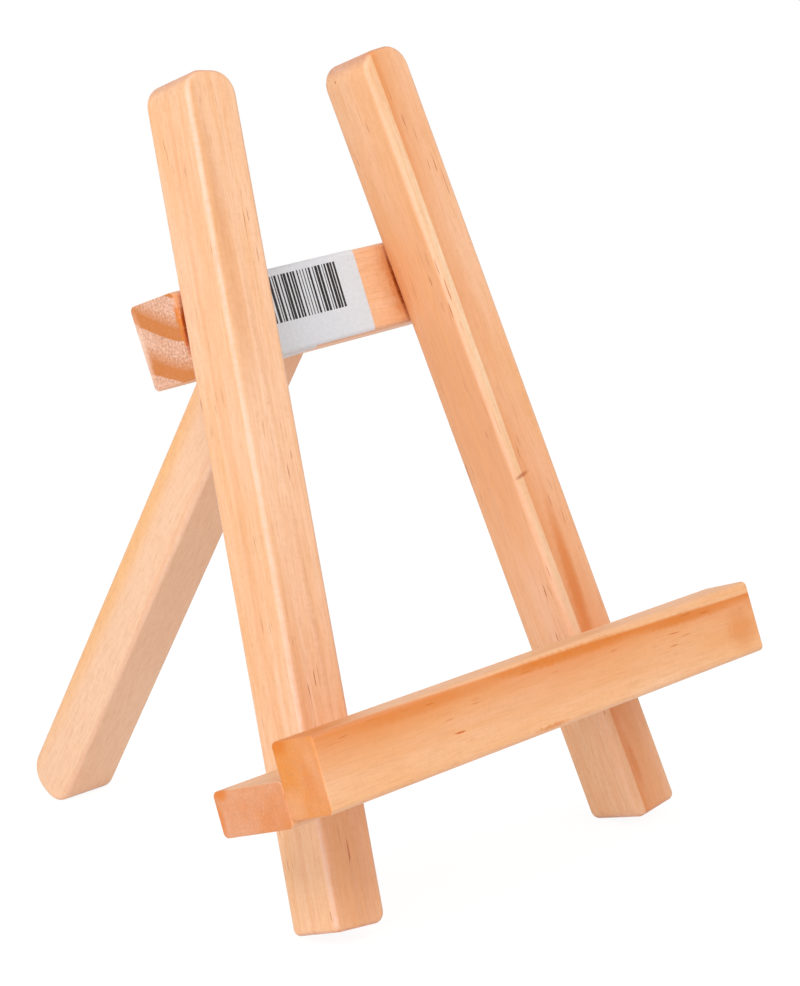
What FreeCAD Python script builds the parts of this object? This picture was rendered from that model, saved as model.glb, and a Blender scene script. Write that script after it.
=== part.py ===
"""Small tabletop artist easel of softwood sticks: two splayed uprights, a rear crossbar, a canvas
ledge and a back leg that folds on a small butt hinge.

Every piece is drawn in the plane of the uprights:
  X  along the crossbar, to the right for someone in front of the easel
  Y  square to the uprights, rearwards, 0 at their front faces
  Z  up the slope of the uprights, 0 at the lowest corners of their feet
The whole easel is then leaned back and stood on the table, with its origin on the table under
the middle of its bounding box. All sizes are in millimetres and degrees.
"""
import FreeCAD, Part

import math
import os

from FreeCAD import Placement, Rotation, Vector

# The easel as a whole
lean = 13.1                     # uprights, back from vertical
splay = 6.72                    # each upright, inwards from the slope line
leg_angle = 39.35               # back leg from vertical when it is open
edge_ease = 1.1                 # sanded rounding of the sticks' edges
sawn_end_ease = 0.4             # rims of the crossbar's and the ledge's sawn ends

# Uprights
upright_width = 12.5
upright_depth = 13.2
upright_length = 165.2
foot_spacing = 85.0             # between the centre lines at the foot ends
top_round = 4.8
foot_round_inner = 2.2
foot_round_outer = 1.4
left_foot_cut = 0.0             # saw cut out of square, that leaves the front longer
right_foot_cut = 4.0

# Rear crossbar
crossbar_height = 17.3
crossbar_depth = 13.9
crossbar_overhang = 0.25        # past the uprights' outer faces
crossbar_level = 118.1          # centre line above the feet
crossbar_tilt = 1.75            # right end up
crossbar_skew = 1.0             # left end's saw cut, out of square

# Ledge: a shelf with a lip glued in front of it
ledge_length = 120.4
ledge_offset = -8.2             # its middle, to the left of the easel's
ledge_level = 29.9              # shelf's centre line above the feet
ledge_tilt = 0.28               # right end up
shelf_height = 8.8
shelf_depth = 19.8
lip_height = 14.4
lip_depth = 11.4
lip_rise = 7.0                  # lip's top above the shelf's top

# Back leg
leg_width = 13.9
leg_thickness = 12.7
leg_tip_round = 5.6

# Hinge between the crossbar's back and the leg's bevelled top end
hinge_width = 10.0
hinge_lift = 0.9                # pin above the crossbar's lower edge
leaf_height = 9.0
leaf_thickness = 0.4
hinge_pin_radius = 0.4
centre_knuckle = 4.0
knuckle_gap = 0.15
pin_clearance = 0.03
hinge_screw_radius = 0.6
hinge_screw_length = 6.0
screw_head_radius = 1.2
screw_slot_width = 0.35
screw_slot_depth = 0.3
screw_spacing = 5.0
screw_level = 5.2               # screws above the hinge pin

# Dowels
dowel_radius = 2.0
dowel_length = 16.0
lip_dowel_radius = 1.5
lip_dowel_length = 11.0
lip_dowel_share = 0.365         # of the ledge's length, from one lip dowel to the next
dowel_chamfer = 0.4
dowel_end_room = 0.5            # hole deeper than the dowel, for glue

# Paper label on the crossbar
label_width = 34.3
label_thickness = 0.12
label_gap = 0.4                 # between the left upright and the label
label_edge_gap = 0.3            # bare wood along the crossbar's lower edge
label_fold_width = 17.9         # part of the label that is folded under the crossbar

# Clearances
wood_clearance = 0.05           # round a dowel, screw or hinge leaf let into wood
barrel_clearance = 0.1          # round the hinge barrel
bevel_gap = 0.2                 # between the crossbar and the open leg's end

# Derived places in the plane of the uprights
foot_lift = upright_width / 2 * math.sin(math.radians(splay))
crossbar_back = upright_depth + crossbar_depth
crossbar_bottom = crossbar_level - crossbar_height / 2
shelf_top = ledge_level + shelf_height / 2
lip_level = shelf_top + lip_rise - lip_height / 2
barrel_radius = hinge_pin_radius + pin_clearance + leaf_thickness
hinge_y = crossbar_back + bevel_gap / 2
hinge_z = crossbar_bottom + hinge_lift
fold_angle = lean + leg_angle


def upright_centre(side, level):
    """X of an upright's centre line at a level; side is -1 for the left, 1 for the right."""
    return side * (foot_spacing / 2 - (level - foot_lift) * math.tan(math.radians(splay)))


def upright_half_width():
    """Half the width of an upright, measured level."""
    return upright_width / 2 / math.cos(math.radians(splay))


def along_tilt(x, level, tilt):
    """Height at x of a line that passes the easel's middle at a level and rises to the right."""
    return level + x * math.tan(math.radians(tilt))


def rounded_outline(corners):
    """Closed wire in the XZ plane through (x, z, radius) corners: lines with tangent arcs."""
    arcs = []
    for index, (x, z, radius) in enumerate(corners):
        here = Vector(x, 0, z)
        before, after = corners[index - 1], corners[(index + 1) % len(corners)]
        back = (Vector(before[0], 0, before[1]) - here).normalize()
        ahead = (Vector(after[0], 0, after[1]) - here).normalize()
        half = back.getAngle(ahead) / 2
        centre = here + (back + ahead).normalize() * (radius / math.sin(half))
        middle = centre + (here - centre).normalize() * radius
        reach = radius / math.tan(half)
        arcs.append((here + back * reach, middle, here + ahead * reach))
    edges = []
    for arc, following in zip(arcs, arcs[1:] + arcs[:1]):
        edges.append(Part.Arc(*arc).toShape())
        edges.append(Part.LineSegment(arc[2], following[0]).toShape())
    return Part.Wire(edges)


def board(corners, depth):
    """Stick with a rounded outline in the XZ plane, of a depth along Y, its two rims eased."""
    body = Part.Face(rounded_outline(corners)).extrude(Vector(0, depth, 0))
    rims = [edge for edge in body.Edges if edge.BoundBox.YLength < depth / 2]
    return body.makeFillet(edge_ease, rims)


def box(x0, x1, y0, y1, z0, z1):
    """Block between two corners."""
    return Part.makeBox(x1 - x0, y1 - y0, z1 - z0, Vector(x0, y0, z0))


def turned(shape, centre, degrees):
    """Copy of a shape turned about the Y axis through centre; positive lowers its right end."""
    copy = shape.copy()
    copy.rotate(centre, Vector(0, 1, 0), degrees)
    return copy


def dowel(x, y, z, radius, length):
    """Wooden dowel along Y, centred at a point, with chamfered ends."""
    pin = Part.makeCylinder(radius, length, Vector(x, y - length / 2, z), Vector(0, 1, 0))
    rims = [edge for edge in pin.Edges if edge.BoundBox.YLength < length / 2]
    return pin.makeChamfer(dowel_chamfer, rims)


def dowel_hole(x, y, z, radius, length):
    """Cutter for the two blind holes that a dowel sits in."""
    whole = length + 2 * dowel_end_room
    start = Vector(x, y - whole / 2, z)
    return Part.makeCylinder(radius + wood_clearance, whole, start, Vector(0, 1, 0))


def crossbar_dowel_place(side):
    """Centre and size of the dowel between the crossbar and one upright."""
    x = upright_centre(side, crossbar_level)
    z = along_tilt(x, crossbar_level, crossbar_tilt)
    return x, upright_depth, z, dowel_radius, dowel_length


def shelf_dowel_place(side):
    """Centre and size of the dowel between the shelf and one upright."""
    x = upright_centre(side, ledge_level)
    return x, 0, along_tilt(x, ledge_level, ledge_tilt), dowel_radius, dowel_length


def lip_dowel_place(step):
    """Centre and size of a dowel between the lip and the shelf; step is -1, 0 or 1."""
    x = ledge_offset + step * lip_dowel_share * ledge_length
    middle = (lip_level - lip_height / 2 + shelf_top) / 2
    z = along_tilt(x, middle, ledge_tilt)
    return x, -shelf_depth, z, lip_dowel_radius, lip_dowel_length


def corner_edge(stick, hand, high):
    """Edge that runs from front to back at one corner of an upright that isn't rounded yet."""
    for edge in stick.Edges:
        middle = edge.CenterOfMass
        above = middle.z > upright_length / 2
        if edge.BoundBox.YLength > upright_depth / 2 and middle.x * hand > 0 and above == high:
            return edge


def upright_stick(side):
    """Plain stick of one upright: foot sawn a little out of square, corners and rims rounded."""
    cut = left_foot_cut if side < 0 else right_foot_cut
    drop = upright_depth * math.tan(math.radians(cut))
    corners = [(0, -drop), (upright_depth, 0), (upright_depth, upright_length), (0, upright_length)]
    outline = Part.makePolygon([Vector(-upright_width / 2, y, z) for y, z in corners + corners[:1]])
    stick = Part.Face(outline).extrude(Vector(upright_width, 0, 0))
    rounds = [(-side, False, foot_round_inner), (side, False, foot_round_outer),
              (-side, True, top_round), (side, True, top_round)]
    for hand, high, radius in rounds:
        stick = stick.makeFillet(radius, [corner_edge(stick, hand, high)])
    rims = [edge for edge in stick.Edges if edge.BoundBox.YLength < upright_depth / 2]
    return stick.makeFillet(edge_ease, rims)


def upright(side):
    """One upright: sawn foot, rounded top, blind holes for its two dowels."""
    stick = turned(upright_stick(side), Vector(), -side * splay)
    stick.translate(Vector(side * foot_spacing / 2, 0, foot_lift))
    for place in (crossbar_dowel_place(side), shelf_dowel_place(side)):
        stick = stick.cut(dowel_hole(*place))
    return stick


def eased_bar(bar, half_length):
    """Bar along X with its long edges rounded and the rims of its sawn ends just eased."""
    long_edges = [edge for edge in bar.Edges if edge.BoundBox.XLength > half_length]
    bar = bar.makeFillet(edge_ease, long_edges)
    rims = [edge for edge in bar.Edges if edge.BoundBox.XLength < half_length]
    return bar.makeFillet(sawn_end_ease, rims)


def crossbar_half_length():
    """Half the crossbar's length, at its centre line."""
    return upright_centre(1, crossbar_level) + upright_half_width() + crossbar_overhang


def rear_crossbar():
    """Square bar behind the uprights, with dowel holes and the hinge's recess and screw holes."""
    reach = crossbar_half_length()
    half = crossbar_height / 2
    skew = half * math.tan(math.radians(crossbar_skew))
    corners = [(-reach + skew, -half), (reach, -half), (reach, half), (-reach - skew, half)]
    outline = Part.makePolygon([Vector(x, 0, z) for x, z in corners + corners[:1]])
    bar = eased_bar(Part.Face(outline).extrude(Vector(0, crossbar_depth, 0)), reach)
    bar.translate(Vector(0, upright_depth, crossbar_level))
    bar = turned(bar, Vector(0, 0, crossbar_level), -crossbar_tilt)
    for side in (-1, 1):
        bar = bar.cut(dowel_hole(*crossbar_dowel_place(side)))
        bar = bar.cut(hinge_screw_body(-1, side, wood_clearance))
    return bar.cut(leaf_recess(-1))


def ledge_stick(height, depth, y, level):
    """One of the ledge's two sticks, from its height, depth, front face and centre line."""
    left, right = ledge_offset - ledge_length / 2, ledge_offset + ledge_length / 2
    stick = box(left, right, y, y + depth, level - height / 2, level + height / 2)
    stick = eased_bar(stick, ledge_length / 2)
    stick = turned(stick, Vector(0, 0, level), -ledge_tilt)
    for step in (-1, 0, 1):
        stick = stick.cut(dowel_hole(*lip_dowel_place(step)))
    return stick


def ledge_shelf():
    """Flat stick that the canvas stands on, against the fronts of the uprights."""
    stick = ledge_stick(shelf_height, shelf_depth, -shelf_depth, ledge_level)
    for side in (-1, 1):
        stick = stick.cut(dowel_hole(*shelf_dowel_place(side)))
    return stick


def ledge_lip():
    """Taller stick in front of the shelf that keeps the canvas from sliding off."""
    return ledge_stick(lip_height, lip_depth, -shelf_depth - lip_depth, lip_level)


def table_level(uprights):
    """Height of the leaned uprights' lowest point, which is where the table is."""
    leaned = Part.makeCompound([leaned_back(stick) for stick in uprights])
    return leaned.optimalBoundingBox(False, False).ZMin


def leg_front_length(top, table):
    """Length of the leg's front face, from its bevelled end to where the tip would be sharp."""
    angle, tilt = math.radians(leg_angle), math.radians(lean)
    top_height = top[1] * math.cos(tilt) - top[0] * math.sin(tilt)
    tip_lift = leg_tip_round * (math.sin(angle) + math.cos(angle) - 1)
    return (top_height + tip_lift - table) / math.cos(angle)


def back_leg(table):
    """Leg sawn to a bevel that meets the crossbar's back when open, with a rounded tip.

    Its front face starts at the hinge pin, and its length reaches the table.
    """
    fold = math.radians(fold_angle)
    end_y = crossbar_back + bevel_gap
    end_low = hinge_z
    end_high = end_low + leg_thickness / math.sin(fold)
    length = leg_front_length((end_y, end_low), table)
    tip_y, tip_z = end_y + length * math.sin(fold), end_low - length * math.cos(fold)
    spare_y, spare_z = -leg_thickness * math.sin(fold), leg_thickness * math.cos(fold)
    corners = [
        (end_y + spare_y, end_low + spare_z, leg_tip_round),
        (tip_y, tip_z, leg_tip_round),
        (tip_y + leg_thickness * math.cos(fold), tip_z + leg_thickness * math.sin(fold), leg_tip_round),
        (end_y + spare_y, end_high + spare_z, leg_tip_round),
    ]
    leg = board(corners, leg_width)
    leg.rotate(Vector(), Vector(0, 0, 1), 90)
    leg.translate(Vector(leg_width / 2, 0, 0))
    sawn_z = end_low, end_high + spare_z + leg_thickness
    leg = leg.cut(box(-leg_width, leg_width, end_y + 2 * spare_y, end_y, *sawn_z))
    for side in (-1, 1):
        leg = leg.cut(hinge_screw_body(1, side, wood_clearance))
    return leg.cut(leaf_recess(1))


def leaf_faces(hand):
    """Y of a leaf's bedded face and its open face; hand is -1 on the crossbar, 1 on the leg."""
    bedded = hinge_y + hand * barrel_radius
    return bedded, bedded - hand * leaf_thickness


def leaf_recess(hand):
    """Cutter for the shallow recess that holds a leaf, with room for the barrel."""
    half = hinge_width / 2 + wood_clearance
    bedded = leaf_faces(hand)[0] + hand * wood_clearance
    low = hinge_z - barrel_radius - barrel_clearance if hand < 0 else hinge_z
    high = hinge_z + leaf_height + wood_clearance
    recess = box(-half, half, min(hinge_y, bedded), max(hinge_y, bedded), low, high)
    radius = barrel_radius + barrel_clearance
    start = Vector(-half, hinge_y, hinge_z)
    return recess.fuse(Part.makeCylinder(radius, 2 * half, start, Vector(1, 0, 0)))


def knuckle(x0, x1, room):
    """Solid cylinder over one stretch of the hinge barrel, larger all round by room."""
    start = Vector(x0 - room, hinge_y, hinge_z)
    return Part.makeCylinder(barrel_radius + room, x1 - x0 + 2 * room, start, Vector(1, 0, 0))


def hinge_leaf(hand, own, other):
    """Leaf with its own knuckles, cut clear of the other leaf's knuckles, pin and screws."""
    half = hinge_width / 2
    faces = leaf_faces(hand)
    leaf = box(-half, half, min(faces), max(faces), hinge_z, hinge_z + leaf_height)
    for x0, x1 in own:
        leaf = leaf.fuse(knuckle(x0, x1, 0))
    for x0, x1 in other:
        leaf = leaf.cut(knuckle(x0, x1, knuckle_gap))
    start = Vector(-half, hinge_y, hinge_z)
    bore = Part.makeCylinder(hinge_pin_radius + pin_clearance, hinge_width, start, Vector(1, 0, 0))
    leaf = leaf.cut(bore)
    for side in (-1, 1):
        leaf = leaf.cut(hinge_screw_body(hand, side, wood_clearance))
    return leaf.removeSplitter()


def outer_knuckles():
    """X ranges of the two knuckles on the crossbar's leaf."""
    inner, outer = centre_knuckle / 2 + knuckle_gap, hinge_width / 2
    return [(-outer, -inner), (inner, outer)]


def middle_knuckle():
    """X range of the knuckle on the leg's leaf."""
    return [(-centre_knuckle / 2, centre_knuckle / 2)]


def hinge_pin():
    """Pin through all the knuckles, with its ends rounded over."""
    start = Vector(-hinge_width / 2, hinge_y, hinge_z)
    pin = Part.makeCylinder(hinge_pin_radius, hinge_width, start, Vector(1, 0, 0))
    rims = [edge for edge in pin.Edges if edge.BoundBox.XLength < hinge_width / 2]
    return pin.makeFillet(hinge_pin_radius / 2, rims)


def hinge_screw_body(hand, side, room):
    """Countersunk screw without its slot, larger all round by room, pointing into the wood."""
    head = screw_head_radius + room
    shank = hinge_screw_radius + room
    taper = head - shank
    length = hinge_screw_length + room
    profile = Part.makePolygon([
        Vector(0, 0, 0), Vector(head, 0, 0), Vector(shank, taper, 0),
        Vector(shank, length - shank, 0), Vector(0, length, 0), Vector(0, 0, 0),
    ])
    body = Part.Face(profile).revolve(Vector(), Vector(0, 1, 0), 360)
    if hand < 0:
        body.rotate(Vector(), Vector(0, 0, 1), 180)
    open_face = leaf_faces(hand)[1]
    body.translate(Vector(side * screw_spacing / 2, open_face, hinge_z + screw_level))
    return body


def hinge_screw(hand, side):
    """Countersunk wood screw with a plain slot, its head flush with the leaf."""
    face = leaf_faces(hand)[1]
    floor = face + hand * screw_slot_depth
    x, z = side * screw_spacing / 2, hinge_z + screw_level
    slot = box(x - screw_head_radius, x + screw_head_radius, min(face, floor), max(face, floor),
               z - screw_slot_width / 2, z + screw_slot_width / 2)
    return hinge_screw_body(hand, side, 0).cut(slot)


def crossbar_wrap(skin):
    """Crossbar's cross-section as a long rounded bar, thicker all round by skin."""
    reach = crossbar_half_length()
    half = crossbar_height / 2 + skin
    bar = box(-reach, reach, upright_depth - skin, crossbar_back + skin,
              crossbar_level - half, crossbar_level + half)
    long_edges = [edge for edge in bar.Edges if edge.BoundBox.XLength > reach]
    return bar.makeFillet(edge_ease + skin, long_edges)


def paper_label():
    """Label on the crossbar's front and top edge, its left part folded round and underneath."""
    bar_top = crossbar_level + crossbar_height / 2
    left = upright_centre(-1, bar_top) + upright_half_width() + label_gap
    right = left + label_width
    fold_end = left + label_fold_width
    front = upright_depth - label_thickness
    front_panel = box(left, right, front, upright_depth + edge_ease,
                      crossbar_bottom + label_edge_gap, bar_top + label_thickness)
    fold = box(left, fold_end, front, crossbar_back - edge_ease,
               crossbar_bottom - label_thickness, crossbar_level)
    skin = crossbar_wrap(label_thickness).cut(crossbar_wrap(0))
    label = skin.common(front_panel.fuse(fold)).removeSplitter()
    return turned(label, Vector(0, 0, crossbar_level), -crossbar_tilt)


def lean_placement():
    """Leans the plane of the uprights back."""
    return Placement(Vector(), Rotation(Vector(1, 0, 0), -lean))


def leaned_back(shape):
    """Copy of a shape, leaned back."""
    return shape.transformed(lean_placement().Matrix, True)


def build_pieces():
    """All pieces by name, in the plane of the uprights."""
    pieces = {"left_upright": upright(-1), "right_upright": upright(1)}
    table = table_level(pieces.values())
    pieces["rear_crossbar"] = rear_crossbar()
    pieces["ledge_shelf"] = ledge_shelf()
    pieces["ledge_lip"] = ledge_lip()
    pieces["back_leg"] = back_leg(table)
    pieces["hinge_leaf_crossbar"] = hinge_leaf(-1, outer_knuckles(), middle_knuckle())
    pieces["hinge_leaf_leg"] = hinge_leaf(1, middle_knuckle(), outer_knuckles())
    pieces["hinge_pin"] = hinge_pin()
    for side, word in ((-1, "left"), (1, "right")):
        pieces["hinge_screw_crossbar_" + word] = hinge_screw(-1, side)
        pieces["hinge_screw_leg_" + word] = hinge_screw(1, side)
        pieces["crossbar_dowel_" + word] = dowel(*crossbar_dowel_place(side))
        pieces["shelf_dowel_" + word] = dowel(*shelf_dowel_place(side))
    for step, word in ((-1, "left"), (0, "middle"), (1, "right")):
        pieces["lip_dowel_" + word] = dowel(*lip_dowel_place(step))
    pieces["paper_label"] = paper_label()
    return pieces


def stand_placement(pieces):
    """Leans the easel back and puts its origin on the table, under the middle of its box."""
    leaned = Part.makeCompound([leaned_back(shape) for shape in pieces.values()])
    bounds = leaned.optimalBoundingBox(False, False)
    shift = Vector(-bounds.Center.x, -bounds.Center.y, -bounds.ZMin)
    return Placement(shift, Rotation()).multiply(lean_placement())


def report_places(place):
    """Print the places that the record of joints and mounts needs, in the easel's own frame."""
    turn = place.Rotation
    shelf_turn = Rotation(Vector(0, 1, 0), -ledge_tilt)
    seat = Vector(ledge_offset, -shelf_depth / 2, along_tilt(ledge_offset, shelf_top, ledge_tilt))
    print("origin shift", place.Base)
    print("hinge axis point", place.multVec(Vector(0, hinge_y, hinge_z)))
    print("fold angle", fold_angle)
    print("shelf top point", place.multVec(seat))
    print("shelf top normal", turn.multVec(shelf_turn.multVec(Vector(0, 0, 1))))


def main():
    os.makedirs("parts", exist_ok=True)
    pieces = build_pieces()
    place = stand_placement(pieces)
    for name, shape in pieces.items():
        shape.transformed(place.Matrix, True).exportStep("parts/" + name + ".step")
    report_places(place)


main()
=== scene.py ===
"""Looks of a small tabletop artist easel: lacquered pine sticks, a paper price label on the
crossbar, a brass butt hinge, the white stage and the camera.

Object coordinates are turned into a frame for each stick, in millimetres: X across its front
face, Y from that face rearwards and Z along the grain.
"""
import math
from collections import namedtuple
from functools import partial

import bpy
from bpy.props import FloatProperty, PointerProperty, StringProperty
from mathutils import Matrix, Vector

bl_info = {
    "name": "Tabletop artist easel",
    "version": (1, 0, 0),
    "blender": (4, 2, 0),
    "location": "3D View > Sidebar > Easel",
    "description": "Finishes a small pine artist easel and sets its stage",
    "category": "Object",
}

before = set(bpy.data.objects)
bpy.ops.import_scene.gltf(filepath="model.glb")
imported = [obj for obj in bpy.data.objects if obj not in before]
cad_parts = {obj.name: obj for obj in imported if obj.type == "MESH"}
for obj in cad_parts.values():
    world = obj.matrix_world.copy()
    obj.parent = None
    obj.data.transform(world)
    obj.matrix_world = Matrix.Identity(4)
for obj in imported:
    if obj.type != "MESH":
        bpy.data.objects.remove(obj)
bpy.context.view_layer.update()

MM = 0.001

# How the sticks lie, in millimetres and degrees
LEAN = 13.1
SPLAY = 6.72
FOOT_SPACING = 85.0
FOOT_LIFT = 0.73
TABLE_SHIFT = (8.20, -61.03, 2.607)
LEG_ANGLE = 39.35
LEG_TOP = (8.20, -9.43, 103.90)
CROSSBAR_PLACE = (0.0, 13.2, 118.1)
CROSSBAR_TILT = 1.75
SHELF_PLACE = (-8.2, -19.8, 29.9)
LIP_PLACE = (-8.2, -31.2, 34.2)
LEDGE_TILT = 0.28

# Camera, in millimetres and radians
CAMERA_POINT = (-376.25, -441.81, 172.607)
CAMERA_YAW, CAMERA_PITCH, CAMERA_ROLL = 0.7624, 0.1710, -0.1101
FOCAL_LENGTH = 104.28
SENSOR = 36.0

# A feature set on a stick: its centre and half sizes in the stick's frame, in millimetres, its
# slant in degrees, and its strength from 0 to 1
Mark = namedtuple("Mark", "x y z wide deep long slant strength", defaults=(0.0, 1.0))

# Darkness across one growth ring, from the pith side to its sharp outer edge
FINE_RINGS = ((0.0, "#000000"), (0.40, "#303030"), (0.70, "#5A5A5A"), (0.86, "#A8A8A8"),
              (0.95, "#FFFFFF"), (1.0, "#101010"))
BROAD_RINGS = ((0.0, "#000000"), (0.28, "#343434"), (0.42, "#888888"), (0.62, "#A4A4A4"),
               (0.86, "#D0D0D0"), (0.965, "#FFFFFF"), (0.99, "#000000"))


def linear(hex_colour):
    """Linear RGBA of an sRGB hex colour."""
    parts = [int(hex_colour[i:i + 2], 16) / 255 for i in (1, 3, 5)]
    return (*[c / 12.92 if c <= 0.04045 else ((c + 0.055) / 1.055) ** 2.4 for c in parts], 1.0)


def add_node(tree, kind, links=None, **settings):
    """Node of a kind with its settings; links maps an input to a node, a socket or a value."""
    node = tree.nodes.new(kind)
    for name, value in settings.items():
        setattr(node, name, value)
    for key, value in (links or {}).items():
        if isinstance(value, bpy.types.Node):
            value = next(socket for socket in value.outputs if socket.enabled)
        if isinstance(value, bpy.types.NodeSocket):
            tree.links.new(value, node.inputs[key])
        else:
            node.inputs[key].default_value = value
    return node


def fill_ramp(node, stops):
    """Colour ramp's stops, given as (position, hex colour) from left to right."""
    ramp = node.color_ramp
    while len(ramp.elements) < len(stops):
        ramp.elements.new(1.0)
    for element, (position, colour) in zip(ramp.elements, stops):
        element.position = position
        element.color = linear(colour)


def turned(x=0.0, y=0.0, z=0.0):
    """Rotation matrix from degrees about X, then Y, then Z."""
    return (Matrix.Rotation(math.radians(z), 4, "Z") @ Matrix.Rotation(math.radians(y), 4, "Y")
            @ Matrix.Rotation(math.radians(x), 4, "X"))


def easel_plane():
    """Frame of the uprights' plane: X to the right, Y rearwards, Z up the slope."""
    return Matrix.Translation(TABLE_SHIFT) @ turned(x=-LEAN)


def upright_place(side):
    """Frame of an upright, from the middle of its foot; side is -1 left, 1 right."""
    foot = Matrix.Translation((side * FOOT_SPACING / 2, 0, FOOT_LIFT))
    return easel_plane() @ foot @ turned(y=-side * SPLAY)


def level_place(point, tilt):
    """Frame of a stick that lies across the easel: X down its front, Z along the grain."""
    x, y, z = point
    pivot = Matrix.Translation((0, 0, z)) @ turned(y=-tilt) @ Matrix.Translation((x, y, 0))
    return easel_plane() @ pivot @ turned(y=90)


def leg_place():
    """Frame of the back leg, from the top of its front face, Z up along the grain."""
    return Matrix.Translation(LEG_TOP) @ turned(x=LEG_ANGLE)


def new_material(name):
    """A material, its node tree and its shader node."""
    material = bpy.data.materials.new(name)
    material.use_nodes = True
    return material, material.node_tree, material.node_tree.nodes["Principled BSDF"]


def in_frame(tree, place):
    """Object coordinates in a stick's own frame, in millimetres."""
    coordinates = add_node(tree, "ShaderNodeTexCoord")
    return add_node(tree, "ShaderNodeMapping", {
        "Vector": coordinates.outputs["Object"], "Location": place.to_translation() * MM,
        "Rotation": place.to_euler("XYZ"), "Scale": (MM, MM, MM)}, vector_type="TEXTURE")


def cloud(tree, point, across, along, detail, seed=0.0):
    """Noise whose patches are `across` mm wide and `along` mm long, the same at each render."""
    scaled = add_node(tree, "ShaderNodeVectorMath", {
        0: point, 1: (1 / across, 1 / across, 1 / along),
        2: (seed, seed * 2, seed * 3)}, operation="MULTIPLY_ADD")
    return add_node(tree, "ShaderNodeTexNoise", {
        "Vector": scaled, "Scale": 1.0, "Detail": detail, "Roughness": 0.55})


def between(low, high, to_low=0.0, to_high=1.0):
    """Map Range inputs that move one range to another."""
    return {"From Min": low, "From Max": high, "To Min": to_low, "To Max": to_high}


def tinted(tree, base, layers):
    """Base colour under layers, each a (factor, colour) pair laid over what is below."""
    for factor, colour in layers:
        base = add_node(tree, "ShaderNodeMix", {0: factor, 6: base, 7: colour}, data_type="RGBA")
    return base


def marks(tree, point, spots):
    """Mask of the features set on a stick, soft at their rims."""
    total = 0.0
    for spot in spots:
        local = add_node(tree, "ShaderNodeMapping", {
            "Vector": point, "Location": spot[:3], "Rotation": (0.0, math.radians(spot.slant), 0.0),
            "Scale": (spot.wide, spot.deep, spot.long)}, vector_type="TEXTURE")
        away = add_node(tree, "ShaderNodeVectorMath", {0: local}, operation="LENGTH")
        soft = add_node(tree, "ShaderNodeMapRange", {
            "Value": away, **between(0.25, 1.0, spot.strength, 0.0)}, interpolation_type="SMOOTHSTEP")
        total = add_node(tree, "ShaderNodeMath", {0: soft, 1: total}, operation="MAXIMUM")
    return total


def growth_rings(tree, point, pith, spacing, start, wander, seed, profile):
    """0 in the earlywood, rising to 1 at each ring's sharp outer edge, about a pith line."""
    stray = cloud(tree, point, 9.0, 60.0, 1.5, seed)
    shift = add_node(tree, "ShaderNodeVectorMath", {
        0: stray.outputs["Color"], 1: (wander, wander, 0.0),
        2: (-wander / 2 - pith[0], -wander / 2 - pith[1], 0.0)}, operation="MULTIPLY_ADD")
    from_pith = add_node(tree, "ShaderNodeVectorMath", {0: point, 1: shift}, operation="ADD")
    flat = add_node(tree, "ShaderNodeVectorMath", {
        0: from_pith, 1: (1.0, 1.0, 0.0)}, operation="MULTIPLY")
    radius = add_node(tree, "ShaderNodeVectorMath", {0: flat}, operation="LENGTH")
    count = add_node(tree, "ShaderNodeMath", {
        0: radius, 1: 1 / spacing, 2: start}, operation="MULTIPLY_ADD")
    share = add_node(tree, "ShaderNodeMath", {0: count}, operation="FRACT")
    late = add_node(tree, "ShaderNodeValToRGB", {"Fac": share})
    fill_ramp(late, profile)
    return late


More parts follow.
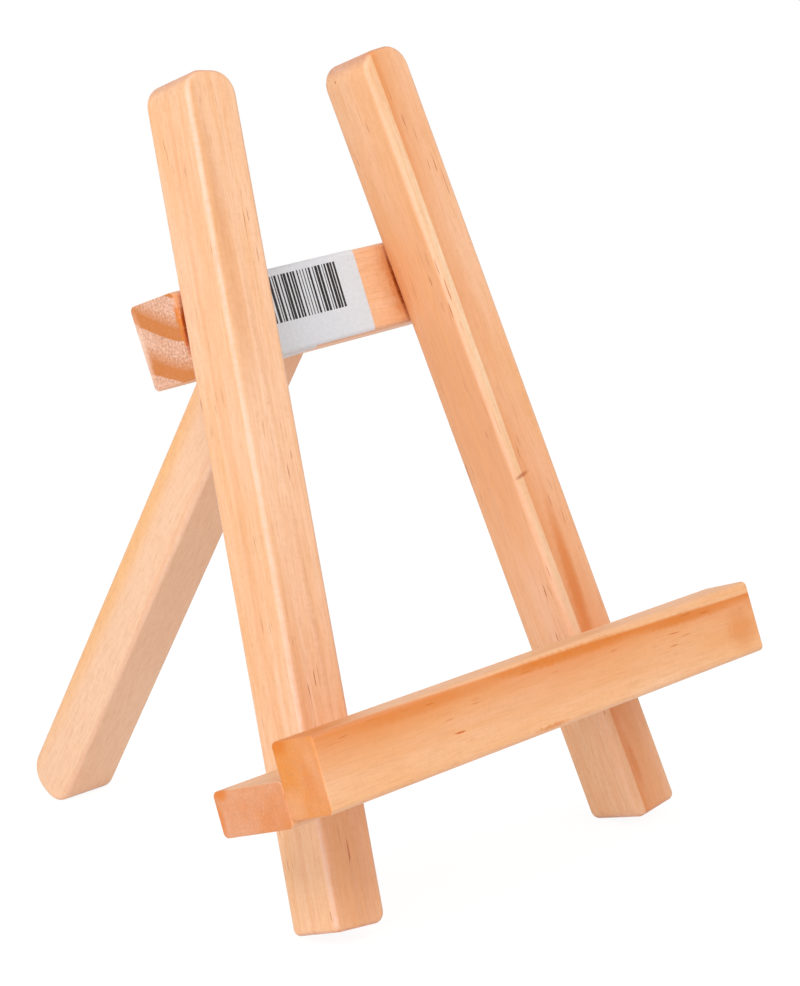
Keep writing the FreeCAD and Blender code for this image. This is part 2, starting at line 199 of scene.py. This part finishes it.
def lacquered_pine(name, place, look, seed, pith, spacing, start=0.0, wander=1.5,
                   grain_turn=0.0, profile=FINE_RINGS, warmth=0.5, bands=1.0, streaks=0.25,
                   fleck=0.3, end_rings=0.3, end_warmth=0.3, speckle=0.3, rubbed_and_highlit=0.3,
                   dashes=(), blots=(), washes=(), strips=()):
    """Pine sanded smooth under a satin clear lacquer.

    Its growth rings show as orange lines on the faces and as arcs on the sawn ends; fine
    resin ducts make short dark dashes, the long edges are sanded pale, partly as a painted
    highlight on their rounded arrises, and the lacquer gives a soft even sheen. Features set one
    by one: dashes are dark lines, blots are stains, washes are soft darker areas and strips are
    paler ones; some of them are painted shadow, shade, light or highlight at the joints, the feet
    and the crossbar's sawn end.
    """
    material, tree, shader = new_material(name)
    node = partial(add_node, tree)
    point = in_frame(tree, place)
    along_grain = in_frame(tree, place @ turned(y=grain_turn))
    late = growth_rings(tree, along_grain, pith, spacing, start, wander, seed, profile)

    # Slow drift of the body colour, soft streaks, fine fibres and the lacquered surface's mottle
    drift = cloud(tree, point, 8.0, 40.0, 2.0, seed + 7.0)
    tone = node("ShaderNodeMapRange", {
        "Value": drift, **between(0.3, 0.7, warmth - 0.35, warmth + 0.35)})
    fade = cloud(tree, point, 16.0, 50.0, 2.0, seed + 3.0)
    share = node("ShaderNodeMapRange", {"Value": fade, **between(0.3, 0.65, 0.55 * bands, bands)})
    band = node("ShaderNodeMath", {0: late, 1: share}, operation="MULTIPLY")
    streak = cloud(tree, point, 1.5, 38.0, 3.0, seed + 31.0)
    streaky = node("ShaderNodeMapRange", {"Value": streak, **between(0.42, 0.68, 0.0, streaks)})
    fibre = cloud(tree, point, 0.32, 5.0, 3.0, seed + 11.0)
    hairs = node("ShaderNodeMapRange", {"Value": fibre, **between(0.45, 0.72, 0.0, 0.3)})
    mottle = cloud(tree, point, 1.5, 0.9, 3.0, seed + 41.0)
    cloudy = node("ShaderNodeMapRange", {"Value": mottle, **between(0.45, 0.75, 0.0, 0.15)})
    ragged = node("ShaderNodeVectorMath", {0: mottle.outputs["Color"], 1: (1.0, 1.0, 5.0),
                  2: (-0.5, -0.5, -2.5)}, operation="MULTIPLY_ADD")
    loose = node("ShaderNodeVectorMath", {0: point, 1: ragged}, operation="ADD")

    # Short dark dashes: a sparse scatter, and the dark features set one by one
    dash = cloud(tree, point, 0.34, 5.5, 0.0, seed + 17.0)
    patch = cloud(tree, point, 6.0, 18.0, 0.0, seed + 19.0)
    thin = node("ShaderNodeMapRange", {"Value": dash, **between(0.73, 0.80)})
    sparse = node("ShaderNodeMapRange", {"Value": patch, **between(0.50, 0.65, 0.0, fleck)})
    scatter = node("ShaderNodeMath", {0: thin, 1: sparse}, operation="MULTIPLY")
    broken = node("ShaderNodeMapRange", {"Value": fibre, **between(0.30, 0.50, 0.5, 1.0)})
    placed = node("ShaderNodeMath", {0: marks(tree, point, dashes), 1: broken}, operation="MULTIPLY")
    dark = node("ShaderNodeMath", {0: scatter, 1: placed}, operation="MAXIMUM")

    # How far a surface faces across the stick, along its depth and along its grain
    coordinates = node("ShaderNodeTexCoord")
    facing = []
    for axis in place.to_3x3().transposed():
        along = node("ShaderNodeVectorMath", {
            0: coordinates.outputs["Normal"], 1: axis}, operation="DOT_PRODUCT")
        facing.append(node("ShaderNodeMath", {0: along}, operation="ABSOLUTE"))
    # Pale sanded long edges, partly a painted highlight on their rounded arrises, broken up by the
    # mottle
    corner = node("ShaderNodeMath", {0: facing[0], 1: facing[1]}, operation="MINIMUM")
    edge = node("ShaderNodeMapRange", {"Value": corner, **between(0.12, 0.55, 0.0, rubbed_and_highlit)})
    worn = node("ShaderNodeMapRange", {"Value": mottle, **between(0.3, 0.6, 1.0, 0.55)})
    pale_edge_and_highlight = node("ShaderNodeMath", {0: edge, 1: worn}, operation="MULTIPLY")
    body = tinted(tree, look["pale"], [
        (tone, look["warm"]), (marks(tree, loose, washes), look["wash"]),
        (marks(tree, loose, strips), look["cream"]), (streaky, look["warm"]), (band, look["band"]),
        (marks(tree, loose, blots), look["blot"]), (cloudy, look["fibre"]), (hairs, look["fibre"]),
        (pale_edge_and_highlight, look["edge"]), (dark, look["fleck"])])

    # Sawn ends: broad arcs of latewood, and speckles where the fibres are cut across
    sawn = node("ShaderNodeMapRange", {"Value": facing[2], **between(0.45, 0.85)})
    arcs = node("ShaderNodeMapRange", {"Value": late, **between(0.18, 0.45, 0.0, end_rings)})
    grainy = node("ShaderNodeMapRange", {"Value": fibre, **between(0.35, 0.65, 1.0, 0.8)})
    broken_arcs = node("ShaderNodeMath", {0: arcs, 1: grainy}, operation="MULTIPLY")
    stain = node("ShaderNodeMapRange", {
        "Value": drift, **between(0.3, 0.7, end_warmth - 0.2, end_warmth + 0.2)})
    pore = cloud(tree, point, 0.5, 2.0, 2.0, seed + 23.0)
    open_pore = node("ShaderNodeMapRange", {"Value": pore, **between(0.50, 0.66, 0.0, speckle)})
    bright = node("ShaderNodeMapRange", {"Value": pore, **between(0.46, 0.34, 0.0, speckle)})
    end = tinted(tree, look["end"], [
        (stain, look["end_band"]), (cloudy, look["end_pore"]), (open_pore, look["end_pore"]),
        (bright, look["end_light"]),
        (broken_arcs, look["end_band"]), (marks(tree, loose, strips), look["end_light"]),
        (marks(tree, loose, blots), look["blot"]), (placed, look["fleck"])])
    tree.links.new(tinted(tree, body, [(sawn, end)]).outputs[2], shader.inputs["Base Color"])

    rough = node("ShaderNodeMapRange", {"Value": fibre, **between(0.3, 0.7, 0.48, 0.62)})
    tree.links.new(rough.outputs["Result"], shader.inputs["Roughness"])
    height = node("ShaderNodeMath", {0: dark, 1: -0.03, 2: fibre}, operation="MULTIPLY_ADD")
    bump = node("ShaderNodeBump", {"Height": height, "Strength": 0.3, "Distance": 0.05 * MM})
    tree.links.new(bump.outputs["Normal"], shader.inputs["Normal"])
    shader.inputs["IOR"].default_value = 1.45
    shader.inputs["Coat Weight"].default_value = 0.15
    shader.inputs["Coat Roughness"].default_value = 0.32
    return material


def dress(node_names, material):
    """Puts a material on CAD nodes, in place of what they came with."""
    for name in node_names:
        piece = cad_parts[name]
        piece.data.materials.clear()
        piece.data.materials.append(material)


def pine_look(colours):
    """The pine's colours, by what they are on the wood."""
    return {key: linear(getattr(colours, key)) for key in (
        "pale", "warm", "fibre", "band", "blot", "wash", "cream", "edge", "fleck",
        "end", "end_band", "end_pore", "end_light")}


def hex_colour(name, description, default):
    """Property for one sRGB hex colour."""
    return StringProperty(name=name, description=description, default=default, maxlen=7)


class EaselColours(bpy.types.PropertyGroup):
    """Colours of the easel's finishes, as sRGB hex values."""
    pale: hex_colour("Pale pine", "Earlywood of the sticks", "#F9CAA6")
    warm: hex_colour("Warm pine", "Earlywood where it is more orange", "#F1B27A")
    rose: hex_colour("Pinkish pine", "Paler, pinker earlywood of the back leg", "#F8CCA8")
    gold: hex_colour("Golden pine", "Golden band down the leg's side", "#F6BC80")
    fibre: hex_colour("Fibre", "Fine lines along the grain", "#D68F5A")
    band: hex_colour("Latewood", "Orange growth bands", "#DF7810")
    # The blot colour also paints bounced light and shade beside the crossbar's joints, the wash colour
    # painted shade under the ledge and at the joints, the cream colour painted light on the feet's
    # sides, and the fleck colour painted shadow lines at the joints
    blot: hex_colour("Blot", "Broad orange stains", "#DC7816")
    wash: hex_colour("Wash", "Soft areas of darker tan", "#D8935F")
    cream: hex_colour("Cream strip", "Pale strips between the growth bands", "#F9D5AF")
    # The rubbed edge colour is partly a painted highlight along the rounded long edges
    edge: hex_colour("Rubbed edge", "Long edges where the sanding shows pale", "#EACBC0")
    fleck: hex_colour("Fleck", "Dark resin dashes", "#AE4600")
    soft_fleck: hex_colour("Soft fleck", "Paler resin dashes of the ledge's lip", "#CE6400")
    end: hex_colour("Sawn end", "End grain", "#E6B194")
    end_band: hex_colour("Sawn end band", "Latewood on the sawn ends", "#DC7F30")
    end_arc: hex_colour("Sawn end arc", "Thick latewood arcs on the crossbar's end", "#CB7322")
    end_gold: hex_colour("Golden sawn end", "Latewood that fills the lip's end", "#E28A34")
    end_pore: hex_colour("Sawn end pore", "Open pores on the sawn ends", "#A97A68")
    # The sawn end fibre colour also paints the highlight on the back rim of the crossbar's sawn end
    end_light: hex_colour("Sawn end fibre", "Bright fibre ends", "#F8D6C0")
    dowel: hex_colour("Dowel", "Beech dowels", "#D9AE7C")
    dowel_pore: hex_colour("Dowel pore", "Pores of the beech", "#B98552")
    paper: hex_colour("Paper", "Price label", "#E0E5EB")
    paper_shade: hex_colour("Paper mottle", "Darker mottle of the price label", "#D8DDE3")
    ink: hex_colour("Ink", "Bars on the label", "#0E0E10")
    brass: hex_colour("Brass", "Hinge leaves", "#D8B26A")
    brass_dull: hex_colour("Dull brass", "Handled patches of the hinge leaves", "#A98443")
    steel: hex_colour("Steel", "Hinge pin and screws", "#C9CACC")
    steel_dull: hex_colour("Dull steel", "Cloudy bloom on the steel", "#A2A5A9")


class EaselSizes(bpy.types.PropertyGroup):
    """Sizes of the label's print, in millimetres, and of the stage."""
    bar_pitch: FloatProperty(
        name="Bar pitch", description="From one bar to the next, in mm", default=0.86, min=0.2)
    bars_left: FloatProperty(
        name="Bars from", description="Left end of the bars, in mm from the middle", default=-17.9)
    bars_right: FloatProperty(
        name="Bars to", description="Right end of the bars, in mm from the middle", default=7.9)
    bars_top: FloatProperty(
        name="Bars' top", description="Top of the bars above the crossbar's middle, in mm",
        default=7.1)
    bars_height: FloatProperty(
        name="Bar height", description="Height of the bars, in mm", default=9.4)
    floor_size: FloatProperty(
        name="Floor", description="Side of the floor", default=6.0, unit="LENGTH")


class EASEL_OT_uprights(bpy.types.Operator):
    """Finish the two uprights in lacquered pine"""
    bl_idname = "easel.uprights"
    bl_label = "Uprights"

    def execute(self, context):
        look = pine_look(context.scene.easel_colours)
        # Painted shadow line where the crossbar meets the upright's back
        joint_shadow_line = Mark(-5.9, 13.1, 119.0, 0.9, 0.7, 10.0)
        left = lacquered_pine(
            "lacquered_pine_left_upright", upright_place(-1), look, seed=1.3, pith=(-2.0, -60.0),
            spacing=12.0, start=0.35, wander=5.0, warmth=0.25, bands=0.22, streaks=0.55, fleck=0.6,
            rubbed_and_highlit=0.5,
            dashes=[joint_shadow_line],
            washes=[
                # Tan streaks down the upper front, then down the lower front
                Mark(-3.6, -0.6, 132.0, 3.2, 1.6, 46.0, -1.2, 0.6),
                Mark(0.2, -0.6, 112.0, 1.1, 1.4, 38.0, -1.5, 0.4),
                Mark(-4.6, -0.6, 40.0, 3.0, 1.6, 42.0, 0, 0.35),
                Mark(1.6, -0.6, 60.0, 1.2, 1.4, 34.0, -1.0, 0.45),
                # Painted shadow of the ledge on the front of the foot
                Mark(0.0, 0.0, 9.0, 9.0, 1.5, 20.0, 0, 0.5)],
            # Painted light on the outer side of the foot
            strips=[Mark(-6.3, 7.0, 8.0, 2.0, 10.0, 18.0, 0, 0.3)])
        right = lacquered_pine(
            "lacquered_pine_right_upright", upright_place(1), look, seed=4.1, pith=(47.0, 5.0),
            spacing=14.0, start=0.35, wander=2.0, profile=BROAD_RINGS, warmth=0.4, bands=0.8,
            streaks=0.5, fleck=0.75, rubbed_and_highlit=0.25,
            # The second is a short scar across the front
            dashes=[joint_shadow_line, Mark(-4.0, 0.0, 74.0, 3.0, 0.7, 0.6, -8, 0.7)],
            # Orange stains on the front, below and above the ledge
            blots=[Mark(-1.9, 0.0, 10.0, 1.3, 1.0, 8.0, 0, 0.5),
                   Mark(-0.7, 0.0, 50.0, 2.4, 1.2, 22.0, 3.0, 0.75)],
            # Darker inner side, and painted shade behind the crossbar's joint
            washes=[Mark(-7.9, 7.0, 92.0, 3.2, 18.0, 66.0, 0, 0.8),
                    Mark(-6.25, 12.6, 119.0, 1.5, 3.6, 18.0, 0, 0.9)],
            # Pale strip along the front's inner edge, in two lengths, and painted light on the foot's
            # inner side
            strips=[Mark(-4.3, -0.3, 108.0, 3.2, 1.8, 74.0, -0.4, 0.85),
                    Mark(-4.4, -0.3, 46.0, 2.6, 1.8, 44.0, 0, 0.8),
                    Mark(-6.3, 7.0, 8.0, 2.0, 10.0, 22.0, 0, 0.4)])
        dress(["left_upright"], left)
        dress(["right_upright"], right)
        return {"FINISHED"}


class EASEL_OT_crossbar(bpy.types.Operator):
    """Finish the rear crossbar in lacquered pine"""
    bl_idname = "easel.crossbar"
    bl_label = "Crossbar"

    def execute(self, context):
        look = pine_look(context.scene.easel_colours)
        # Its sawn end shows two thick arcs of latewood, soft above and sharp below
        look["end_band"] = linear(context.scene.easel_colours.end_arc)
        bar = lacquered_pine(
            "lacquered_pine_crossbar", level_place(CROSSBAR_PLACE, CROSSBAR_TILT), look, seed=2.2,
            pith=(-36.6, -11.0), spacing=8.2, start=0.16, wander=1.6, profile=BROAD_RINGS,
            warmth=0.45, bands=0.15, fleck=0.3, end_rings=1.0, end_warmth=0.1, speckle=0.6,
            # Painted shadow lines along the left and the right upright, where the bar is glued on
            dashes=[Mark(0.0, -0.1, -34.9, 10.0, 0.9, 0.7, 8.1),
                    Mark(0.4, 0.0, 22.6, 10.0, 1.0, 0.8, -4.4)],
            # Beside those lines, painted bounced light by the left upright and painted shade by the
            # right one; and a stain on the sawn end's rear top corner
            blots=[Mark(-2.0, 0.3, -35.3, 9.0, 1.2, 1.6, 8.1),
                   Mark(0.4, 0.0, 22.2, 12.0, 1.2, 2.4, -4.4, 0.6),
                   Mark(-5.5, 13.6, -35.2, 4.0, 1.5, 0.8, 0, 0.5)],
            # Painted shade fading out from the right upright
            washes=[Mark(0.4, 0.0, 21.5, 14.0, 1.5, 5.0, -4.4, 0.4)],
            # Pale rim down the back of the sawn end, a painted highlight on its rounded edge
            strips=[Mark(0.0, 13.9, -35.3, 11.0, 2.4, 3.0, 0, 0.7)])
        dress(["rear_crossbar"], bar)
        return {"FINISHED"}


class EASEL_OT_ledge(bpy.types.Operator):
    """Finish the ledge's shelf and lip in lacquered pine"""
    bl_idname = "easel.ledge"
    bl_label = "Ledge"

    def execute(self, context):
        look = pine_look(context.scene.easel_colours)
        left_end = -60.2
        shelf = lacquered_pine(
            "lacquered_pine_shelf", level_place(SHELF_PLACE, LEDGE_TILT), look, seed=5.7,
            pith=(60.0, 10.0), spacing=9.0, wander=2.0, warmth=0.55, bands=0.5, fleck=0.3,
            end_rings=0.1, end_warmth=0.65, speckle=0.12,
            # Stained rear top corner and rear edge of the sawn end
            blots=[Mark(-3.9, 17.6, left_end, 2.0, 3.0, 3.0, 0, 0.9),
                   Mark(1.0, 19.2, left_end, 4.5, 1.3, 3.0, 0, 0.7)])
        look["fleck"] = linear(context.scene.easel_colours.soft_fleck)
        look["end_band"] = linear(context.scene.easel_colours.end_gold)
        lip = lacquered_pine(
            "lacquered_pine_lip", level_place(LIP_PLACE, LEDGE_TILT), look, seed=9.4,
            pith=(50.0, 5.0), spacing=14.5, start=0.10, wander=1.0, grain_turn=1.2,
            profile=BROAD_RINGS, warmth=0.75, bands=1.1, streaks=0.45, fleck=1.0, end_rings=0.2,
            end_warmth=0.9, speckle=0.08, rubbed_and_highlit=0.15,
            blots=[
                # Stains on the lower edge and by the right end
                Mark(6.4, 0.3, -3.0, 0.6, 0.8, 7.0, 0, 0.7),
                Mark(1.8, 0.0, 55.0, 5.5, 1.2, 6.0, 0, 0.45),
                # Orange band under the top edge, in three lengths
                Mark(-5.2, -0.2, -34.0, 1.7, 1.2, 30.0, 0.4, 0.6),
                Mark(-5.3, -0.2, 6.0, 1.6, 1.2, 30.0, 0.8, 0.9),
                Mark(-4.3, -0.2, 38.0, 1.5, 1.2, 22.0, 2.2, 0.9),
                # Stained rear top corner and front half of the sawn end
                Mark(-6.4, 9.6, left_end, 2.4, 3.4, 3.0, 0, 1.0),
                Mark(1.0, 3.6, left_end, 5.5, 2.6, 3.0, 0, 0.35)],
            # Paler patches of the sawn end
            strips=[Mark(4.6, 9.0, left_end, 4.2, 4.4, 3.0, 0, 0.16),
                    Mark(-2.5, 2.2, left_end, 4.0, 2.2, 3.0, 0, 0.1)])
        dress(["ledge_shelf"], shelf)
        dress(["ledge_lip"], lip)
        return {"FINISHED"}


class EASEL_OT_leg(bpy.types.Operator):
    """Finish the back leg in lacquered pine"""
    bl_idname = "easel.leg"
    bl_label = "Back leg"

    def execute(self, context):
        colours = context.scene.easel_colours
        look = pine_look(colours)
        look["warm"], look["pale"] = look["pale"], linear(colours.rose)
        look["blot"] = linear(colours.gold)
        leg = lacquered_pine(
            "lacquered_pine_leg", leg_place(), look, seed=7.9, pith=(8.0, -50.0), spacing=14.0,
            start=0.15, wander=4.0, warmth=0.3, bands=0.2, fleck=0.1,
            # Golden band down the left side
            blots=[Mark(-6.95, 11.8, -62.0, 3.0, 4.8, 92.0, 0, 0.9)])
        dress(["back_leg"], leg)
        return {"FINISHED"}


class EASEL_OT_dowels(bpy.types.Operator):
    """Finish the dowels in plain beech"""
    bl_idname = "easel.dowels"
    bl_label = "Dowels"

    def execute(self, context):
        colours = context.scene.easel_colours
        # Turned beech, dry and unfinished: even pale brown with fine pores, and no sheen
        material, tree, shader = new_material("turned_beech")
        point = in_frame(tree, easel_plane() @ turned(x=-90))
        pores = add_node(tree, "ShaderNodeMapRange", {
            "Value": cloud(tree, point, 0.3, 3.0, 2.0), **between(0.4, 0.7, 0.0, 0.5)})
        colour = tinted(tree, linear(colours.dowel), [(pores, linear(colours.dowel_pore))])
        tree.links.new(colour.outputs[2], shader.inputs["Base Color"])
        shader.inputs["Roughness"].default_value = 0.7
        dress([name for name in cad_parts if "dowel" in name], material)
        return {"FINISHED"}


def worn_metal(name, colour, dull, roughness):
    """Metal whose polish varies and carries fine scratches."""
    material, tree, shader = new_material(name)
    point = in_frame(tree, Matrix.Identity(4))
    bloom = cloud(tree, point, 1.2, 1.2, 4.0)
    scratch = cloud(tree, point, 0.08, 2.5, 2.0, 5.0)
    worn = add_node(tree, "ShaderNodeMapRange", {"Value": bloom, **between(0.35, 0.7, 0.0, 0.7)})
    tree.links.new(tinted(tree, colour, [(worn, dull)]).outputs[2], shader.inputs["Base Color"])
    rough = add_node(tree, "ShaderNodeMapRange", {
        "Value": bloom, **between(0.3, 0.7, roughness - 0.06, roughness + 0.12)})
    tree.links.new(rough.outputs["Result"], shader.inputs["Roughness"])
    bump = add_node(tree, "ShaderNodeBump", {
        "Height": scratch, "Strength": 0.25, "Distance": 0.02 * MM})
    tree.links.new(bump.outputs["Normal"], shader.inputs["Normal"])
    shader.inputs["Metallic"].default_value = 1.0
    return material


class EASEL_OT_hinge(bpy.types.Operator):
    """Finish the hinge's leaves in brass, and its pin and screws in steel"""
    bl_idname = "easel.hinge"
    bl_label = "Hinge"

    def execute(self, context):
        colours = context.scene.easel_colours
        # Rolled brass sheet, handled: warm yellow, a little dull in patches
        brass = worn_metal("rolled_brass", linear(colours.brass), linear(colours.brass_dull), 0.30)
        # Zinc-plated steel: cool grey with a faint cloudy bloom
        steel = worn_metal("zinc_plated_steel", linear(colours.steel), linear(colours.steel_dull), 0.34)
        dress([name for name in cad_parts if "hinge_leaf" in name], brass)
        dress([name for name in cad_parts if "hinge_screw" in name or name == "hinge_pin"],
              steel)
        return {"FINISHED"}


class EASEL_OT_label(bpy.types.Operator):
    """Finish the paper label, with plain generic bars"""
    bl_idname = "easel.label"
    bl_label = "Paper label"

    def execute(self, context):
        colours, sizes = context.scene.easel_colours, context.scene.easel_sizes
        # Uncoated label paper: matt white with a faint mottle; black print lies flat on it
        material, tree, shader = new_material("label_paper")
        node = partial(add_node, tree)
        point = in_frame(tree, level_place(CROSSBAR_PLACE, CROSSBAR_TILT))
        axes = node("ShaderNodeSeparateXYZ", {0: point})
        # One bar in each step along the print, of its own width and a little off its middle
        steps = node("ShaderNodeMath", {0: axes.outputs["Z"], 1: sizes.bar_pitch}, operation="DIVIDE")
        step = node("ShaderNodeMath", {0: steps}, operation="FLOOR")
        within = node("ShaderNodeMath", {0: steps}, operation="FRACT")
        chance = node("ShaderNodeTexWhiteNoise", {"W": step}, noise_dimensions="1D")
        coin = node("ShaderNodeSeparateColor", {0: chance.outputs["Color"]})
        half = node("ShaderNodeMapRange", {
            "Value": coin.outputs["Red"], **between(0.0, 1.0, 0.12, 0.45)})
        centre = node("ShaderNodeMapRange", {
            "Value": coin.outputs["Green"], **between(0.0, 1.0, 0.30, 0.70)})
        away = node("ShaderNodeMath", {0: within, 1: centre}, operation="SUBTRACT")
        gap = node("ShaderNodeMath", {0: away}, operation="ABSOLUTE")
        printed = node("ShaderNodeMath", {0: gap, 1: half}, operation="LESS_THAN")
        for axis, test, limit in (
                ("Z", "GREATER_THAN", sizes.bars_left),
                ("Z", "LESS_THAN", sizes.bars_right),
                ("X", "GREATER_THAN", -sizes.bars_top),
                ("X", "LESS_THAN", sizes.bars_height - sizes.bars_top),
                ("Y", "LESS_THAN", 0.3)):
            inside = node("ShaderNodeMath", {0: axes.outputs[axis], 1: limit}, operation=test)
            printed = node("ShaderNodeMath", {0: printed, 1: inside}, operation="MULTIPLY")
        mottle = cloud(tree, point, 0.8, 0.8, 3.0)
        shaded = node("ShaderNodeMapRange", {"Value": mottle, **between(0.3, 0.7)})
        paper = tinted(tree, linear(colours.paper), [
            (shaded, linear(colours.paper_shade)), (printed, linear(colours.ink))])
        tree.links.new(paper.outputs[2], shader.inputs["Base Color"])
        bump = node("ShaderNodeBump", {"Height": mottle, "Strength": 0.2, "Distance": 0.03 * MM})
        tree.links.new(bump.outputs["Normal"], shader.inputs["Normal"])
        shader.inputs["Roughness"].default_value = 0.6
        dress(["paper_label"], material)
        return {"FINISHED"}


def white_for_eyes(tree):
    """1 where the ray comes straight or by gloss or glass from the camera, 0 elsewhere."""
    path = add_node(tree, "ShaderNodeLightPath")
    seen = add_node(tree, "ShaderNodeMath", {
        0: path.outputs["Is Camera Ray"], 1: path.outputs["Is Glossy Ray"]}, operation="MAXIMUM")
    return add_node(tree, "ShaderNodeMath", {0: seen, 1: path.outputs["Is Transmission Ray"]},
                    operation="MAXIMUM")


def floor_finish():
    """White paper sweep: it shows white, with the easel's shadow faint on it."""
    # Matt pale paper for the light that the easel gets from it; for the eye, a soft grey that
    # takes the shadow, plus a glow that brings the lit paper up to white
    material, tree, shader = new_material("paper_sweep")
    shader.inputs["Base Color"].default_value = linear("#F2F2F2")
    shader.inputs["Roughness"].default_value = 0.9
    soft = add_node(tree, "ShaderNodeBsdfDiffuse", {"Color": linear("#666666")})
    glow = add_node(tree, "ShaderNodeEmission", {"Color": linear("#FFFFFF"), "Strength": 0.925})
    shown = add_node(tree, "ShaderNodeAddShader", {0: soft, 1: glow})
    choice = add_node(tree, "ShaderNodeMixShader", {0: white_for_eyes(tree), 1: shader, 2: shown})
    tree.links.new(choice.outputs[0], tree.nodes["Material Output"].inputs["Surface"])
    return material


def area_lamp(name, place, aim, side, power):
    """Square white lamp aimed at a point; side in metres, power in watts."""
    bpy.ops.object.light_add(type="AREA", location=place)
    lamp = bpy.context.object
    lamp.name = name
    lamp.data.shape = "SQUARE"
    lamp.data.size = side
    lamp.data.energy = power
    lamp.rotation_euler = (Vector(aim) - Vector(place)).to_track_quat("-Z", "Y").to_euler()


class EASEL_OT_stage(bpy.types.Operator):
    """Set the white floor, the soft lamps and the camera"""
    bl_idname = "easel.stage"
    bl_label = "Stage"

    def execute(self, context):
        scene = context.scene
        bpy.ops.object.select_all(action="DESELECT")
        bpy.ops.mesh.primitive_plane_add(size=scene.easel_sizes.floor_size, location=(0, 0, 0))
        floor = context.object
        floor.name = "white_floor"
        floor.data.materials.append(floor_finish())

        world = bpy.data.worlds.new("studio_air")
        scene.world = world
        world.use_nodes = True
        tree = world.node_tree
        air = tree.nodes["Background"]
        air.inputs["Strength"].default_value = 0.54
        air.inputs["Color"].default_value = linear("#FFFFFF")
        white = add_node(tree, "ShaderNodeBackground", {"Color": linear("#FFFFFF"), "Strength": 1.0})
        choice = add_node(tree, "ShaderNodeMixShader", {0: white_for_eyes(tree), 1: air, 2: white})
        tree.links.new(choice.outputs[0], tree.nodes["World Output"].inputs["Surface"])

        # The lamps face the middle of the easel's height; places are in metres
        aim = (0.0, 0.0, 0.08)
        area_lamp("key_lamp", (-1.0, -0.55, 1.0), aim, 0.5, 7.3)
        area_lamp("front_lamp", (0.15, -1.0, 0.85), aim, 0.8, 3.4)
        area_lamp("low_lamp", (-1.15, -0.38, 0.10), aim, 0.4, 3.9)

        bpy.ops.object.camera_add()
        camera = context.object
        camera.name = "studio_camera"
        camera.data.sensor_width = SENSOR
        camera.data.lens = FOCAL_LENGTH
        camera.data.clip_start = 0.05
        yaw, pitch, roll = CAMERA_YAW, CAMERA_PITCH, CAMERA_ROLL
        ahead = Vector((
            math.sin(yaw) * math.cos(pitch), math.cos(yaw) * math.cos(pitch), -math.sin(pitch)))
        side = Vector((math.cos(yaw), -math.sin(yaw), 0))
        up = side.cross(ahead)
        right = side * math.cos(roll) + up * math.sin(roll)
        top = up * math.cos(roll) - side * math.sin(roll)
        turn = Matrix((right, top, -ahead)).transposed().to_4x4()
        camera.matrix_world = Matrix.Translation(Vector(CAMERA_POINT) * MM) @ turn
        scene.camera = camera
        scene.view_settings.view_transform = "Standard"
        return {"FINISHED"}


class EASEL_PT_panel(bpy.types.Panel):
    """Easel tools in the sidebar"""
    bl_idname = "EASEL_PT_panel"
    bl_label = "Easel"
    bl_space_type = "VIEW_3D"
    bl_region_type = "UI"
    bl_category = "Easel"

    def draw(self, context):
        for group in (context.scene.easel_colours, context.scene.easel_sizes):
            for key in group.bl_rna.properties.keys():
                if key not in ("rna_type", "name"):
                    self.layout.prop(group, key)
        for step in STEPS:
            self.layout.operator(step.bl_idname)


STEPS = (EASEL_OT_uprights, EASEL_OT_crossbar, EASEL_OT_ledge, EASEL_OT_leg, EASEL_OT_dowels,
         EASEL_OT_hinge, EASEL_OT_label, EASEL_OT_stage)
CLASSES = (EaselColours, EaselSizes, *STEPS, EASEL_PT_panel)


def register():
    for cls in CLASSES:
        bpy.utils.register_class(cls)
    bpy.types.Scene.easel_colours = PointerProperty(type=EaselColours)
    bpy.types.Scene.easel_sizes = PointerProperty(type=EaselSizes)


def unregister():
    del bpy.types.Scene.easel_sizes
    del bpy.types.Scene.easel_colours
    for cls in reversed(CLASSES):
        bpy.utils.unregister_class(cls)


def main():
    """Makes every piece in order."""
    register()
    bpy.ops.easel.uprights()
    bpy.ops.easel.crossbar()
    bpy.ops.easel.ledge()
    bpy.ops.easel.leg()
    bpy.ops.easel.dowels()
    bpy.ops.easel.hinge()
    bpy.ops.easel.label()
    bpy.ops.easel.stage()


if __name__ == "__main__":
    main()
